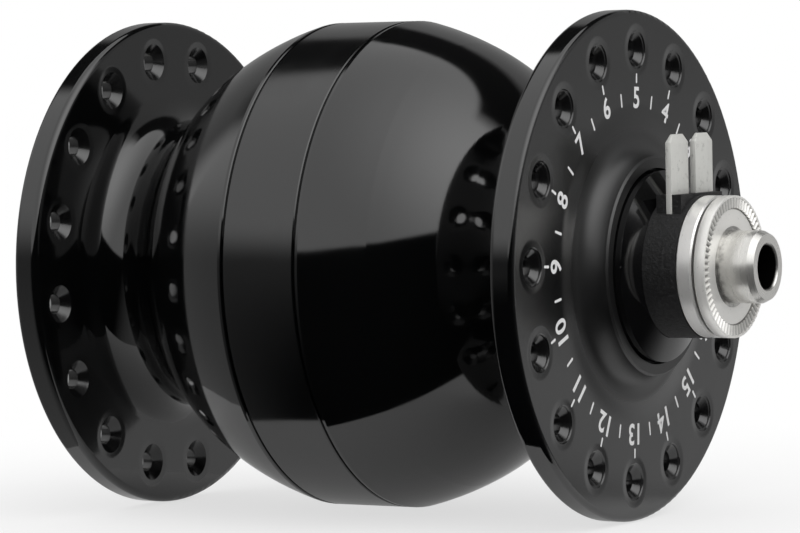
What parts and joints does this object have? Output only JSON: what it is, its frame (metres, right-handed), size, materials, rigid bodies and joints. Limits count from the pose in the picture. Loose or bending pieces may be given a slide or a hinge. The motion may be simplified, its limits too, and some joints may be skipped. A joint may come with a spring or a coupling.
{
  "type": "bicycle hub dynamo",
  "caption": "Front hub with a generator inside a split barrel shell, spoke flanges, a quick-release axle and two plug blades for the lamp.",
  "frame": {"origin": "middle of the hub on the axle's axis, halfway between the locknut faces", "axes": "+Y along the axle towards the end without a connector, +Z the way the plug blades point"},
  "size_m": [0.064, 0.1088, 0.064],
  "materials": {
    "anodised_shell": "polished black anodised aluminium",
    "magnet": "dark sintered magnet",
    "rubber_seal": "matte black rubber",
    "bearing_steel": "ground and polished steel",
    "steel": "turned steel",
    "nickel_plate": "nickel plated, machined",
    "cage_nylon": "natural nylon",
    "copper_wire": "enamelled copper",
    "gloss_black": "gloss black",
    "moulded_black": "fine moulded texture",
    "tinned_blade": "tinned strip"
  },
  "bodies": {
    "axle_assembly": {"axle": "steel", "bearing_inner_race_connector_side": "bearing_steel", "bearing_inner_race_plain_side": "bearing_steel", "coil_bobbin": "cage_nylon", "coil_winding": "copper_wire", "connector_body": "moulded_black", "end_sleeve_plain_side": "moulded_black", "end_spacer_connector_side": "bearing_steel", "end_spacer_plain_side": "bearing_steel", "lead_wire_left": "moulded_black", "lead_wire_right": "moulded_black", "locknut_connector_side": "nickel_plate", "locknut_plain_side": "nickel_plate", "seal_cone_connector_side": "gloss_black", "seal_cone_plain_side": "gloss_black", "spacer_tube_connector_side": "steel", "spacer_tube_plain_side": "steel", "stator_clamp_nut_connector_side": "steel", "stator_clamp_nut_plain_side": "steel", "stator_claw_connector_side": "steel", "stator_claw_plain_side": "steel", "stator_core_sleeve": "steel", "terminal_left": "tinned_blade", "terminal_right": "tinned_blade"},
    "hub_shell": {"shell_connector_side": "anodised_shell", "shell_plain_side": "anodised_shell", "rotor_band": "anodised_shell", "magnets_north": "magnet", "magnets_south": "magnet", "shell_gasket_connector_side": "rubber_seal", "shell_gasket_plain_side": "rubber_seal", "bearing_outer_race_connector_side": "bearing_steel", "bearing_outer_race_plain_side": "bearing_steel", "bearing_shields_connector_side": "bearing_steel", "bearing_shields_plain_side": "bearing_steel", "bearing_circlip_connector_side": "bearing_steel", "bearing_circlip_plain_side": "bearing_steel", "lip_seal_connector_side": "rubber_seal", "lip_seal_plain_side": "rubber_seal"},
    "ball_set_connector_side": {"bearing_balls_connector_side": "bearing_steel", "bearing_cage_connector_side": "cage_nylon"},
    "ball_set_plain_side": {"bearing_balls_plain_side": "bearing_steel", "bearing_cage_plain_side": "cage_nylon"}
  },
  "joints": [
    {"name": "hub_spin", "type": "hinge", "parent": "axle_assembly", "child": "hub_shell", "pos_m": [0, 0, 0], "axis": [0, 1, 0], "continuous": true},
    {"name": "ball_set_spin_connector_side", "type": "hinge", "parent": "axle_assembly", "child": "ball_set_connector_side", "pos_m": [0, -0.0324, 0], "axis": [0, 1, 0], "continuous": true},
    {"name": "ball_set_spin_plain_side", "type": "hinge", "parent": "axle_assembly", "child": "ball_set_plain_side", "pos_m": [0, 0.0324, 0], "axis": [0, 1, 0], "continuous": true}
  ],
  "couplings": [
    {"joint": "ball_set_spin_connector_side", "follows": "hub_spin", "ratio": 0.6322},
    {"joint": "ball_set_spin_plain_side", "follows": "hub_spin", "ratio": 0.6322}
  ]
}
